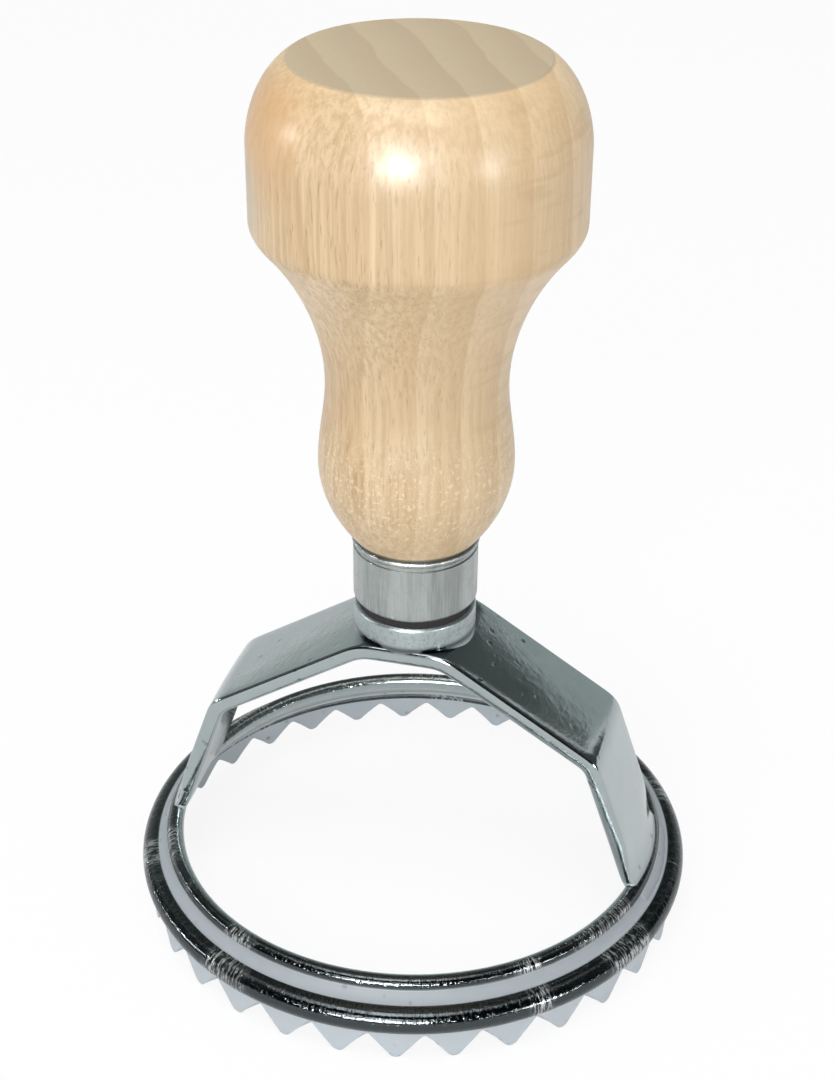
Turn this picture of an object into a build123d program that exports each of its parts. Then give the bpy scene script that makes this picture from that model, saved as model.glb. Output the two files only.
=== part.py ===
"""Dumpling cutter: a turned wooden handle on a one-piece cast cutter.

The casting is a toothed ring with a strap arching over it. A boss on top of the strap takes the
tenon of the handle, a thin metal ferrule goes round that tenon, and a screw from below holds all.
Z is the axis, zero is the plane of the tooth tips, and the strap runs along X. Millimetres.
"""
from build123d import *
from math import asin, atan2, cos, pi, radians, sin, sqrt
import os

# The toothed skirt of the ring
tooth_count = 31            # teeth round the edge
tooth_phase = 2.6           # degrees from X to the middle of the first tooth
skirt_radius = 37.5         # outside of the skirt and of its teeth
tip_wall = 0.5              # metal left at the tooth tips
skirt_wall = 0.9            # metal where the teeth begin
notch_depth = 3.85          # height of a notch on the outside
notch_bevel = 1.0           # how much lower a notch ends for each mm inwards
notch_round = 0.45          # radius at the top of a notch
tip_round = 1.0             # radius of the tip of a tooth
tip_land = 0.2              # width of its blunt end

# The bead round the outside, the cove above it and the rolled inner rim
bead_radius = 1.86
bead_reach = 1.05           # how far the bead stands out from the skirt
bead_height = 5.88          # height of its middle
bead_lap = 100              # degrees up the bead to the crease where the cove starts
rim_radius = 1.15
band_width = 4.9            # from the inside of the rim out to the skirt
rim_height = 9.3            # height of the middle of the rim
rim_lap = 15                # degrees up the rim to the crease where the cove ends
cove_depth = 0.35
inner_hollow = 0.3          # hollow of the inner wall below the rim

# The strap that arches over the ring
strap_width = 16.2
strap_wall = 2.3
strap_edge = 0.5            # rounding of its long edges
crown_height = 43.0         # top of the strap, where the boss stands
crown_half = 6.0            # half the level part of the crown
crown_bend = 7.0
shoulder_inset = 10.45      # the shoulders are this far inside the skirt
shoulder_height = 29.7
shoulder_bend = 4.6
foot_inset = 0.4            # the leg lands this far inside the middle of the rim
foot_rise = 1.15            # where the leg starts to spread, above the top of the rim
foot_lap = 0.35             # the foot ends this far short of the lower crease of the cove
foot_bend = 4.0             # rounding between the leg and its foot

# Boss, ferrule and screw
boss_radius = 8.1
boss_rise = 3.4             # above the strap
boss_edge = 0.5
tenon_show = 1.1            # bare tenon between boss and ferrule
ferrule_radius = 8.2
ferrule_wall = 0.6
ferrule_height = 9.1
ferrule_rim = 0.9           # height of the rolled rim at its mouth
ferrule_rim_out = 0.18
ferrule_groove = 0.16       # depth of the groove under that rim
ferrule_turn_in = 0.5       # rounding of its lower edge
ferrule_clearance = 0.04
screw_shank = 4.0           # diameters
screw_head = 8.0
screw_head_height = 2.4
screw_length = 34.0
screw_clearance = 0.3       # round the shank in the boss
screw_slot_width = 1.1
screw_slot_depth = 0.9

# The turned handle
belly_radius = 12.55
belly_rise = 10.9           # above the mouth of the ferrule
neck_radius = 11.5
neck_rise = 22.1
knob_radius = 20.3
knob_corner_rise = 43.6     # lower corner of the knob
knob_corner = 2.6           # rounding of that corner
shoulder_start = 52.6       # where the top shoulder of the knob starts
handle_height = 62.8        # from the mouth of the ferrule to the flat top
top_radius = 15.2
wood_lip = 1.0              # small rounding where the wood sits on the ferrule

boss_top = crown_height + boss_rise
ferrule_base = boss_top + tenon_show
mouth = ferrule_base + ferrule_height
tenon_radius = ferrule_radius - ferrule_wall - ferrule_clearance
top = mouth + handle_height
rim_inner = skirt_radius - band_width
rim_middle = rim_inner + rim_radius
bead_middle = skirt_radius + bead_reach - bead_radius
teeth_top = notch_depth + 0.25
foot_reach = rim_middle - foot_inset
shoulder_reach = skirt_radius - shoulder_inset


def turned(*edges):
    """Revolve a closed outline of edges, drawn as radius and height, about Z."""
    face = make_face(Plane.XZ * Wire(edges))
    return revolve(face, Axis.Z)


def on_circle(middle, height, radius, angle):
    """The point of a section circle at an angle in degrees from straight outwards."""
    return (middle + radius * cos(radians(angle)), height + radius * sin(radians(angle)))


def inner_wall():
    """Inner side of the ring in section: from the rim down to the teeth, slightly hollowed."""
    high, low = (rim_inner, rim_height), (skirt_radius - skirt_wall, teeth_top)
    span_r, span_z = low[0] - high[0], high[1] - low[1]
    length = sqrt(span_r ** 2 + span_z ** 2)
    middle = ((high[0] + low[0]) / 2 + inner_hollow * span_z / length,
              (high[1] + low[1]) / 2 + inner_hollow * span_r / length)
    return ThreePointArc(high, middle, low)


def ring_outline():
    """Section of the ring: teeth zone, bead, cove, rolled rim and flared inner wall."""
    under = bead_height - sqrt(max(bead_radius ** 2 - (skirt_radius - bead_middle) ** 2, 0.01))
    cove_low = on_circle(bead_middle, bead_height, bead_radius, bead_lap)
    cove_high = on_circle(rim_middle, rim_height, rim_radius, rim_lap)
    run, rise = cove_low[0] - cove_high[0], cove_high[1] - cove_low[1]
    length = sqrt(run ** 2 + rise ** 2)
    cove = ((cove_low[0] + cove_high[0]) / 2 - cove_depth * rise / length,
            (cove_low[1] + cove_high[1]) / 2 - cove_depth * run / length)
    return [
        Line((skirt_radius - tip_wall, 0), (skirt_radius, 0)),
        Line((skirt_radius, 0), (skirt_radius, under)),
        ThreePointArc((skirt_radius, under), (bead_middle + bead_radius, bead_height), cove_low),
        ThreePointArc(cove_low, cove, cove_high),
        ThreePointArc(cove_high, on_circle(rim_middle, rim_height, rim_radius, 90 + rim_lap / 2),
                      (rim_inner, rim_height)),
        inner_wall(),
        Line((skirt_radius - skirt_wall, teeth_top), (skirt_radius - tip_wall, 0)),
    ]


def notch_side(reach):
    """Half of a notch at one radius: from its rounded top, down the flank, round the next tip."""
    depth = notch_depth - (skirt_radius - reach) * notch_bevel
    half = pi * reach / tooth_count
    drop = depth - notch_round - tip_round
    flank = atan2(drop, half) + asin((notch_round + tip_round) / sqrt(half ** 2 + drop ** 2))
    top = [(notch_round * sin(flank * k), depth - notch_round * (1 - cos(flank * k))) for k in (0, 0.5, 1)]
    tip = [(half - tip_round * sin(flank * k), tip_round * (1 - cos(flank * k))) for k in (1, 0.64, 0.3)]
    return top + tip + [(half - tip_land / 2, 0), (half - tip_land / 2, -1.5)]


def notch():
    """One notch: a rounded V, deepest on the outside and shallower inwards, so its edges are bevelled."""
    faces = []
    for reach in (skirt_radius + 0.1, skirt_radius - skirt_wall - 0.7):
        points = notch_side(reach)
        points += [(-x, z) for x, z in reversed(points[1:])]
        plane = Plane(origin=(reach, 0, 0), x_dir=(0, 1, 0), z_dir=(1, 0, 0))
        faces.append(plane * make_face(Wire(Polyline(*points, close=True).edges())))
    return loft(faces, ruled=True)


def ring():
    """The toothed ring of the casting."""
    body = turned(*ring_outline())
    cuts = []
    for step in range(tooth_count):
        turn = tooth_phase + (step + 0.5) * 360 / tooth_count
        cuts.append(Rot(0, 0, turn) * notch())
    return body - cuts


def parallel(points, distance):
    """The chain of points moved sideways by a distance, corners mitred."""
    moved = []
    for i, (x, z) in enumerate(points):
        before = points[max(i - 1, 0)]
        after = points[min(i + 1, len(points) - 1)]
        sides = []
        for (ax, az), (bx, bz) in ((before, (x, z)), ((x, z), after)):
            length = sqrt((bx - ax) ** 2 + (bz - az) ** 2)
            if length:
                sides.append(((bz - az) / length, -(bx - ax) / length))
        nx, nz = (sum(s[0] for s in sides), sum(s[1] for s in sides))
        scale = len(sides) / (nx * nx + nz * nz)
        moved.append((x + nx * scale * distance, z + nz * scale * distance))
    return moved


def strap():
    """The flat strap: level crown, two sloping arms, shoulder bends, steep legs and their feet."""
    foot_height = rim_height + rim_radius + foot_rise
    outside = [(0, crown_height), (crown_half, crown_height), (shoulder_reach, shoulder_height),
               (foot_reach, foot_height)]
    inside = parallel(outside, strap_wall)
    lean = (foot_reach - shoulder_reach) / (shoulder_height - foot_height)
    low = bead_height + 0.6
    end_in = (inside[-1][0] + lean * (inside[-1][1] - low), low)
    crease = on_circle(bead_middle, bead_height, bead_radius, bead_lap)
    foot = (crease[0] - foot_lap, crease[1] + foot_lap * 1.25)
    half = outside + [foot, (foot[0], low), end_in] + list(reversed(inside))
    side = Plane.XZ * make_face(Wire(Polyline(*half, close=True).edges()))
    half_body = extrude(side, strap_width / 2, both=True)
    across = half_body.edges().filter_by(Axis.Y)

    def near(point):
        """The edge across the strap nearest to a corner of the side view."""
        return min(across, key=lambda e: (e.center().X - point[0]) ** 2 + (e.center().Z - point[1]) ** 2)

    half_body = fillet([near(outside[1])], crown_bend)
    across = half_body.edges().filter_by(Axis.Y)
    half_body = fillet([near(inside[1])], max(crown_bend - strap_wall, 0.5))
    across = half_body.edges().filter_by(Axis.Y)
    half_body = fillet([near(outside[2])], shoulder_bend)
    across = half_body.edges().filter_by(Axis.Y)
    half_body = fillet([near(inside[2])], max(shoulder_bend - strap_wall, 0.5))
    across = half_body.edges().filter_by(Axis.Y)
    half_body = fillet([near(outside[3])], foot_bend)
    whole = half_body + mirror(half_body, Plane.YZ)
    long_edges = [e for e in whole.edges()
                  if abs(abs(e.center().Y) - strap_width / 2) < 0.01 and e.center().Z > foot_height - 0.2]
    return fillet(long_edges, strap_edge)


def casting():
    """The one-piece casting: ring, strap and boss, with the screw's hole through the crown."""
    arch = strap()
    relief = (rim_inner - strap_wall, rim_height + rim_radius + strap_wall)
    void = turned(Line((0, -1), (skirt_radius - skirt_wall, -1)),
                  Line((skirt_radius - skirt_wall, -1), (skirt_radius - skirt_wall, teeth_top)),
                  inner_wall(), Line((rim_inner, rim_height), relief),
                  Line(relief, (0, relief[1])), Line((0, relief[1]), (0, -1)))
    boss = Pos(0, 0, crown_height - strap_wall / 2) * Cylinder(
        boss_radius, boss_rise + strap_wall / 2, align=(Align.CENTER, Align.CENTER, Align.MIN))
    boss = fillet(boss.edges().group_by(Axis.Z)[-1], boss_edge)
    body = (arch - void) + ring() + boss
    hole = Pos(0, 0, crown_height - strap_wall - 1) * Cylinder(
        screw_shank / 2 + screw_clearance, strap_wall + boss_rise + 2,
        align=(Align.CENTER, Align.CENTER, Align.MIN))
    return body - hole


def ferrule():
    """The thin tube round the tenon: rolled rim, groove below it and a turned-in lower edge."""
    inner = ferrule_radius - ferrule_wall
    rim_out = ferrule_radius + ferrule_rim_out
    groove = ferrule_radius - ferrule_groove
    rim_low = mouth - ferrule_rim
    return turned(
        Line((inner, ferrule_base), (ferrule_radius - ferrule_turn_in, ferrule_base)),
        ThreePointArc((ferrule_radius - ferrule_turn_in, ferrule_base),
                      (ferrule_radius - ferrule_turn_in * 0.29, ferrule_base + ferrule_turn_in * 0.29),
                      (ferrule_radius, ferrule_base + ferrule_turn_in)),
        Line((ferrule_radius, ferrule_base + ferrule_turn_in), (ferrule_radius, rim_low - 0.6)),
        Line((ferrule_radius, rim_low - 0.6), (groove, rim_low - 0.45)),
        Line((groove, rim_low - 0.45), (groove, rim_low)),
        ThreePointArc((groove, rim_low), (rim_out, mouth - ferrule_rim / 2), (groove, mouth)),
        Line((groove, mouth), (inner, mouth)),
        Line((inner, mouth), (inner, ferrule_base)))


def handle():
    """The turned handle: tenon, belly, neck and flat-topped knob, with the screw's blind bore."""
    belly = (belly_radius, mouth + belly_rise)
    neck = (neck_radius, mouth + neck_rise)
    corner = (knob_radius, mouth + knob_corner_rise)
    lip = (ferrule_radius - ferrule_groove, mouth)
    start = (lip[0] + wood_lip * 0.75, mouth + wood_lip)
    under = (knob_radius - knob_corner * 0.5, mouth + knob_corner_rise - knob_corner)
    shoulder = (knob_radius, mouth + shoulder_start)
    body = turned(
        Line((0, boss_top), (tenon_radius, boss_top)),
        Line((tenon_radius, boss_top), (tenon_radius, mouth)),
        Line((tenon_radius, mouth), lip),
        Line(lip, start),
        Spline(start, belly, tangents=((0.62, 0.78), (0, 1))),
        Spline(belly, neck, tangents=((0, 1), (0, 1))),
        Spline(neck, under, tangents=((0, 1), (0.66, 0.75))),
        Spline(under, corner, tangents=((0.66, 0.75), (0, 1))),
        Line(corner, shoulder),
        Spline(shoulder, (top_radius, top), tangents=((0, 1), (-0.85, 0.45))),
        Line((top_radius, top), (0, top)),
        Line((0, top), (0, boss_top)))
    bore = screw_length - strap_wall - boss_rise
    return body - Pos(0, 0, boss_top) * Cylinder(
        screw_shank / 2, bore, align=(Align.CENTER, Align.CENTER, Align.MIN))


def screw():
    """The pan-head screw that comes up through the crown into the tenon."""
    seat = crown_height - strap_wall
    shank = Pos(0, 0, seat) * Cylinder(screw_shank / 2, screw_length, align=(Align.CENTER, Align.CENTER, Align.MIN))
    head = Pos(0, 0, seat) * Cylinder(screw_head / 2, screw_head_height,
                                      align=(Align.CENTER, Align.CENTER, Align.MAX))
    head = fillet(head.edges().group_by(Axis.Z)[0], screw_head_height * 0.4)
    slot = Pos(0, 0, seat - screw_head_height) * Box(
        screw_head * 1.2, screw_slot_width, screw_slot_depth * 2)
    return head + shank - slot


os.makedirs("parts", exist_ok=True)
nodes = {
    "cutter_casting": casting(),
    "ferrule": ferrule(),
    "wooden_handle": handle(),
    "handle_screw": screw(),
}
for name, shape in nodes.items():
    export_step(shape, f"parts/{name}.step")
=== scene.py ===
"""Looks of the dumpling cutter: lacquered beech handle, satin ferrule and chromed casting."""
import logging
from dataclasses import dataclass, field
from enum import Enum
from math import cos, pi, radians, sin, tau
from typing import Any

import bmesh
import bpy
import numpy as np
from mathutils import Matrix, Vector


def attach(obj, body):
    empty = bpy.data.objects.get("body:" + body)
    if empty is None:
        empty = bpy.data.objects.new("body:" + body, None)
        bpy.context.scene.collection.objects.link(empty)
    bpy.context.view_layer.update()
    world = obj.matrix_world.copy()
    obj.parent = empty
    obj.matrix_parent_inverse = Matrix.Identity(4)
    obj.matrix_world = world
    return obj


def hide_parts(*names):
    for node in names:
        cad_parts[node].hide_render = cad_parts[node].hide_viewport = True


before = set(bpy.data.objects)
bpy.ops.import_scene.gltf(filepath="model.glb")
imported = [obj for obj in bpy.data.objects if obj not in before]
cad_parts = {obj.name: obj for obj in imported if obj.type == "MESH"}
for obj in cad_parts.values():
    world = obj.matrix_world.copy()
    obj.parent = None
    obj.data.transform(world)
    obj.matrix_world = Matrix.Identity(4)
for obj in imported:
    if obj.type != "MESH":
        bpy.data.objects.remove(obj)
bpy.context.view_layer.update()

MM = 0.001
Pair = tuple[float, float]
Triple = tuple[float, float, float]
log = logging.getLogger("dumpling_cutter")


class Finish(Enum):
    """The finishes that the pieces take, named as a maker would."""

    CHROME = "chrome plating"
    SATIN = "satin tube"
    BEECH = "lacquered beech"
    ZINC = "zinc plated screw"


class Socket:
    """A shader socket that takes part in Python arithmetic; each operator adds one Math node."""

    def __init__(self, graph: "Graph", link: Any) -> None:
        """Keep the graph and the output socket."""
        self.graph = graph
        self.link = link

    def _math(self, operation: str, *values: Any) -> "Socket":
        """Add a Math node with its inputs in order, sockets or numbers."""
        return self.graph.add("ShaderNodeMath", {"operation": operation}, dict(enumerate(values)))

    def __add__(self, other: Any) -> "Socket":
        """Sum."""
        return self._math("ADD", self, other)

    def __sub__(self, other: Any) -> "Socket":
        """Difference."""
        return self._math("SUBTRACT", self, other)

    def __rsub__(self, other: Any) -> "Socket":
        """Difference, reflected."""
        return self._math("SUBTRACT", other, self)

    def __mul__(self, other: Any) -> "Socket":
        """Product."""
        return self._math("MULTIPLY", self, other)

    def __truediv__(self, other: Any) -> "Socket":
        """Quotient."""
        return self._math("DIVIDE", self, other)

    __radd__ = __add__
    __rmul__ = __mul__

    def above(self, edge: float, soft: float) -> "Socket":
        """A soft step: nothing below edge - soft, half at the edge, one above edge + soft."""
        return self.graph.add("ShaderNodeMapRange", {"interpolation_type": "SMOOTHSTEP"},
                              {"Value": self, "From Min": edge - soft, "From Max": edge + soft})

    def near(self, place: float, reach: float, soft: float) -> "Socket":
        """A soft band: one within reach of a place, nothing further off than reach + soft."""
        return 1.0 - (self - place).size().above(reach, soft)

    def root(self) -> "Socket":
        """Square root."""
        return self._math("SQRT", self)

    def fraction(self) -> "Socket":
        """The part after the point, a saw with one tooth for each unit."""
        return self._math("FRACT", self)

    def size(self) -> "Socket":
        """The value without its sign."""
        return self._math("ABSOLUTE", self)


class Graph:
    """A node tree that is written as expressions."""

    def __init__(self, tree: bpy.types.NodeTree) -> None:
        """Empty the tree and keep it."""
        self.tree = tree
        tree.nodes.clear()

    def add(self, kind: str, settings: dict[str, Any] | None = None,
            values: dict[Any, Any] | None = None, out: Any = None) -> Socket:
        """Add one node.

        Args:
            kind: the node's type.
            settings: its properties; "stops" sets a colour ramp.
            values: numbers, colours, vectors or sockets, by input name or index.
            out: the output's name; the first enabled one when left out.

        Returns:
            That output.
        """
        node = self.tree.nodes.new(kind)
        for name, value in (settings or {}).items():
            if name == "stops":
                ramp = node.color_ramp
                while len(ramp.elements) < len(value):
                    ramp.elements.new(1.0)
                for element, (place, colour) in zip(ramp.elements, value):
                    element.position = place
                    element.color = (*colour, 1.0)
            else:
                setattr(node, name, value)
        for name, value in (values or {}).items():
            self.feed(node, name, value)
        if out is None:
            socket = next(o for o in node.outputs if o.enabled)
        else:
            socket = node.outputs[out]
        return Socket(self, socket)

    def feed(self, node: bpy.types.Node, name: Any, value: Any) -> None:
        """Give one input a link or a value.

        Args:
            node: the node that is fed.
            name: the input's name or index.
            value: a socket, number, colour or vector.
        """
        if isinstance(name, int):
            target = node.inputs[name]
        else:
            target = next(s for s in node.inputs if s.name == name and s.enabled)
        if isinstance(value, Socket):
            self.tree.links.new(value.link, target)
        elif isinstance(value, tuple) and len(value) == 3 and target.type == "RGBA":
            target.default_value = (*value, 1.0)
        else:
            target.default_value = value

    def blend(self, share: Any, first: Any, second: Any) -> Socket:
        """Mix two colours.

        Args:
            share: how much of the second.
            first: colour or socket.
            second: colour or socket.

        Returns:
            The mixed colour.
        """
        node = self.tree.nodes.new("ShaderNodeMix")
        node.data_type = "RGBA"
        self.feed(node, "Factor", share)
        self.feed(node, "A", first)
        self.feed(node, "B", second)
        return Socket(self, node.outputs[2])

    def place(self, coords: str = "Object", scale: Triple = (1.0, 1.0, 1.0),
              turn: Triple = (0.0, 0.0, 0.0)) -> Socket:
        """Coordinates in millimetres, scaled and turned by a Mapping node.

        Args:
            coords: "Object" or "UV".
            scale: factors on each axis.
            turn: rotation in radians.

        Returns:
            The vector.
        """
        source = self.add("ShaderNodeTexCoord", {}, {}, coords)
        unit = 1.0 / MM if coords == "Object" else 1.0
        return self.add("ShaderNodeMapping", {"vector_type": "POINT"},
                        {"Vector": source, "Scale": tuple(unit * s for s in scale), "Rotation": turn})

    def axes(self, vector: Socket) -> tuple[Socket, Socket, Socket]:
        """The three parts of a vector, by one node."""
        first = self.add("ShaderNodeSeparateXYZ", {}, {"Vector": vector}, 0)
        return (first, *(Socket(self, first.link.node.outputs[k]) for k in (1, 2)))

    def either(self, first: Socket, second: Socket) -> Socket:
        """The larger of two masks."""
        return first._math("MAXIMUM", first, second)

    def background_ray(self, seen: float, mirrored: float) -> Socket:
        """How much of the background's own white a ray gets.

        Args:
            seen: for camera rays.
            mirrored: for glossy and transmission rays.

        Returns:
            The larger of the two shares for this ray.
        """
        camera = self.add("ShaderNodeLightPath", {}, {}, "Is Camera Ray")
        node = camera.link.node
        glossy = Socket(self, node.outputs["Is Glossy Ray"])
        through = Socket(self, node.outputs["Is Transmission Ray"])
        return self.either(camera * seen, self.either(glossy, through) * mirrored)

    def noise(self, vector: Socket, scale: float, detail: float = 3.0, rough: float = 0.5) -> Socket:
        """Smooth noise between nothing and one: scale in cells for each unit, detail in octaves."""
        return self.add("ShaderNodeTexNoise", {"noise_dimensions": "3D"},
                        {"Vector": vector, "Scale": scale, "Detail": detail, "Roughness": rough}, "Fac")

    def brushing(self, along: float, across: float, detail: float, rough: float) -> Socket:
        """Noise on the mesh's own map, with so many cells to a millimetre along and across it."""
        return self.noise(self.place("UV", (along, across, 1.0)), 1.0, detail, rough)

    def bump(self, height: Socket, depth: float, strength: float) -> Socket:
        """A normal from a height, where depth is in metres for one unit of it."""
        return self.add("ShaderNodeBump", {}, {"Height": height, "Distance": depth, "Strength": strength})

    def principled(self, **values: Any) -> Socket:
        """A Principled shader whose inputs are named with underscores."""
        return self.add("ShaderNodeBsdfPrincipled", {}, {k.replace("_", " "): v for k, v in values.items()})

    def finish_with(self, shader: Socket) -> None:
        """Link a shader to the material's or the world's output."""
        world = isinstance(self.tree.id_data, bpy.types.World)
        out = self.tree.nodes.new("ShaderNodeOutputWorld" if world else "ShaderNodeOutputMaterial")
        self.tree.links.new(shader.link, out.inputs["Surface"])


def new_material(name: str) -> tuple[bpy.types.Material, Graph]:
    """A material with nodes and its empty graph."""
    material = bpy.data.materials.new(name)
    material.use_nodes = True
    return material, Graph(material.node_tree)


def new_object(name: str, data: Any) -> bpy.types.Object:
    """An object that holds the data, linked to the scene."""
    made = bpy.data.objects.new(name, data)
    bpy.context.scene.collection.objects.link(made)
    return made


def srgb(red: float, green: float, blue: float) -> Triple:
    """Eight-bit display values as a linear colour."""
    def one(value: float) -> float:
        """One channel: the display curve undone."""
        value /= 255.0
        return value / 12.92 if value <= 0.04045 else ((value + 0.055) / 1.055) ** 2.4
    return (one(red), one(green), one(blue))


@dataclass(frozen=True)
class Zones:
    """Where each treatment of the plating, and each painted shade and reflection, lies on the casting, as masks
    between nothing and one.
    """

    worked: Socket
    shielded: Socket
    outward: Socket
    inner: Socket
    hollow: Socket
    corner: Socket
    stub: Socket
    glint: Socket


@dataclass(frozen=True)
class ChromeFinish:
    """Chrome over a zinc casting: buffed on bead, rim and strap, milky where no wheel reaches; the bead and rim
    carry a painted dark reflection.
    """

    buffed: Triple = (0.43, 0.48, 0.485)
    clouded: Triple = (0.35, 0.40, 0.40)
    milky: Triple = (0.51, 0.555, 0.59)
    inside: Triple = (0.50, 0.56, 0.545)
    # Painted shade colour: the dark reflection on the outer bead and rim, and the shade in the corner round the
    # boss.
    painted_dark: Triple = (0.052, 0.060, 0.064)
    # Plain chrome colour for the painted glint patches, where the painted dark reflection gives way so the lamps
    # glint.
    glint_plate: Triple = (0.52, 0.54, 0.54)
    # The cove colour is darker than the milky plating: painted shade in the hollow under the rim.
    cove: Triple = (0.33, 0.365, 0.39)
    clouded_stub: Triple = (0.19, 0.21, 0.215)
    pitted: Triple = (0.12, 0.13, 0.13)
    # section circles that the wheel reaches: radius and height of the middle, size
    bead: Triple = (36.69, 5.88, 1.98)
    rim: Triple = (33.75, 9.30, 1.24)
    ring_top: float = 10.75
    wall_inside: float = 36.1
    crown: float = 43.0
    boss: float = 8.25
    # roughness where buffed, and what each zone adds
    smooth: float = 0.10
    milky_rough: float = 0.38
    cove_rough: float = 0.14
    glint_rough: float = 0.30
    # how much less metallic the unbuffed plating is
    milky_dull: float = 0.60
    cove_dull: float = 0.38
    bump_depth: float = 0.0004
    bump_strength: float = 0.55

    def near_circle(self, radius: Socket, height: Socket, circle: Triple) -> Socket:
        """One inside a section circle: where the root of the squared offsets is below its size."""
        off, up = radius - circle[0], height - circle[1]
        return 1.0 - (off * off + up * up).root().above(circle[2], 0.10)

    def zones(self, g: Graph, where: Socket) -> Zones:
        """Divide the casting by the distance from the axis and the height.

        Args:
            g: the node graph.
            where: Object coordinates in millimetres.

        Returns:
            The masks.
        """
        x, y, z = g.axes(where)
        radius = (x * x + y * y).root()
        on_ring = 1.0 - z.above(self.ring_top, 0.15)
        wheel = g.either(self.near_circle(radius, z, self.bead), self.near_circle(radius, z, self.rim))
        worked, shielded = on_ring * wheel, on_ring * (1.0 - wheel)
        outward = radius.above(self.rim[0] - 0.25, 0.45)
        inner = shielded * (1.0 - radius.above(self.wall_inside, 0.25)) * (1.0 - z.above(9.0, 0.4))
        hollow = shielded * z.above(self.bead[1] + 1.0, 0.2) * outward
        # Corner: painted shade in the crease where the strap meets the boss, fading out along the strap top.
        corner = z.near(self.crown, 0.45, 0.40) * (1.0 - radius.above(9.6, 1.6)) * radius.above(7.95, 0.1)
        stub = (1.0 - radius.above(self.boss, 0.06)) * z.above(self.crown + 0.2, 0.2)
        # Glint patches: noise picks streaked spots on the bead and rim, painted glint spots at fixed places.
        streaks = g.brushing(2.9, 0.55, 3.0, 0.7).above(0.52, 0.07)
        patches = g.brushing(0.085, 0.02, 1.0, 0.5).above(0.57, 0.04)
        glint = streaks * patches * worked * outward
        return Zones(worked, shielded, outward, inner, hollow, corner, stub, glint)

    def tone(self, g: Graph, zones: Zones, cloud: Socket, mottle: Socket, pit: Socket) -> Socket:
        """Lay the colours over each other, zone by zone, painted shade, reflection and glints among them.

        Args:
            g: the node graph.
            zones: the masks.
            cloud: broad noise.
            mottle: fine noise for the boss.
            pit: one in a casting pit.

        Returns:
            The base colour.
        """
        colour = g.blend(cloud, self.buffed, self.clouded)
        for share, layer in (
            # painted dark reflection on the outer side of the bead and rim
            (zones.worked * zones.outward * 0.96, self.painted_dark),
            # painted glint patches, plain chrome among the painted dark reflection
            (zones.glint * 0.9, self.glint_plate),
            (zones.shielded, self.milky),
            # painted shade in the corner round the boss
            (zones.corner * 0.8, self.painted_dark),
            (zones.inner * 0.9, self.inside),
            # painted shade in the cove
            (zones.hollow, self.cove),
            (zones.stub * mottle.above(0.56, 0.10) * 0.5, self.clouded_stub),
            (pit * 0.6, self.pitted),
        ):
            colour = g.blend(share, colour, layer)
        return colour

    def material(self) -> bpy.types.Material:
        """Build the material: chrome, with waves, pits and polishing lines as bumps."""
        material, g = new_material("chrome_plating")
        where = g.place()
        zones = self.zones(g, where)
        cloud = g.noise(where, 0.16, 4.0, 0.55)
        fine = g.noise(g.place(scale=(1.0, 1.0, 0.35)), 2.6, 3.0, 0.6)
        mottle = g.noise(where, 2.1, 3.0, 0.7)
        pores = g.add("ShaderNodeTexVoronoi", {"feature": "F1"}, {"Vector": where, "Scale": 0.38, "Randomness": 1.0},
                      "Distance")
        pit = (1.0 - pores.above(0.13, 0.06)) * g.noise(where, 0.07, 2.0, 0.5).above(0.52, 0.08)
        rough = (self.smooth + (cloud - 0.4) * 0.08 + (fine - 0.5) * 0.05 + zones.shielded * self.milky_rough
                 + zones.hollow * self.cove_rough + zones.glint * self.glint_rough
                 + zones.stub * (0.10 + mottle * 0.30))
        waves = g.noise(where, 0.20, 2.0, 0.5) * 0.15
        peel = g.noise(where, 1.3, 3.0, 0.6) * (0.05 + zones.stub * 0.25)
        lines = g.brushing(3.1, 0.20, 3.0, 0.7) * (0.02 + zones.worked * 0.20)
        nicks = g.brushing(2.4, 1.1, 2.0, 0.6).above(0.60, 0.10) * zones.worked * 0.12
        g.finish_with(g.principled(
            Base_Color=self.tone(g, zones, cloud, mottle, pit), Roughness=rough,
            Metallic=1.0 - zones.shielded * self.milky_dull - zones.hollow * self.cove_dull,
            Normal=g.bump(waves + peel - pit * 0.10 + lines + nicks, self.bump_depth, self.bump_strength)))
        return material


@dataclass(frozen=True)
class SatinFinish:
    """A thin drawn tube with fine lines along its axis, dull stains and a polished rim."""

    light: Triple = (0.43, 0.47, 0.465)
    dark: Triple = (0.17, 0.18, 0.17)
    stained: Triple = (0.34, 0.33, 0.28)
    bump_depth: float = 0.00012

    def material(self) -> bpy.types.Material:
        """Build the material: satin metal with lines that run along the handle's axis."""
        material, g = new_material("satin_tube")
        lines = g.noise(g.place(scale=(1.0, 1.0, 0.04)), 4.6, 4.0, 0.7)
        broad = g.noise(g.place(scale=(1.0, 1.0, 0.10)), 0.55, 3.0, 0.55)
        stain = g.noise(g.place(), 0.8, 4.0, 0.6).above(0.56, 0.12)
        colour = g.blend(lines.above(0.5, 0.22) * 0.30 + broad.above(0.5, 0.16) * 0.42, self.light, self.dark)
        colour = g.blend(stain * 0.4, colour, self.stained)
        rough = 0.21 + lines * 0.16 + stain * 0.10
        g.finish_with(g.principled(Base_Color=colour, Metallic=1.0, Roughness=rough,
                                   Normal=g.bump(lines, self.bump_depth, 0.5)))
        return material


@dataclass(frozen=True)
class ZincFinish:
    """A plain zinc-plated screw, slightly dull."""

    tint: Triple = (0.58, 0.59, 0.60)
    oxide: Triple = (0.42, 0.43, 0.45)
    bump_depth: float = 0.00008

    def material(self) -> bpy.types.Material:
        """Build the material: dull metal with a faint cloud of oxide."""
        material, g = new_material("zinc_screw")
        cloud = g.noise(g.place(), 0.9, 4.0, 0.6)
        g.finish_with(g.principled(Base_Color=g.blend(cloud, self.tint, self.oxide), Metallic=1.0,
                                   Roughness=0.28 + cloud * 0.2, Normal=g.bump(cloud, self.bump_depth, 0.4)))
        return material


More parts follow.
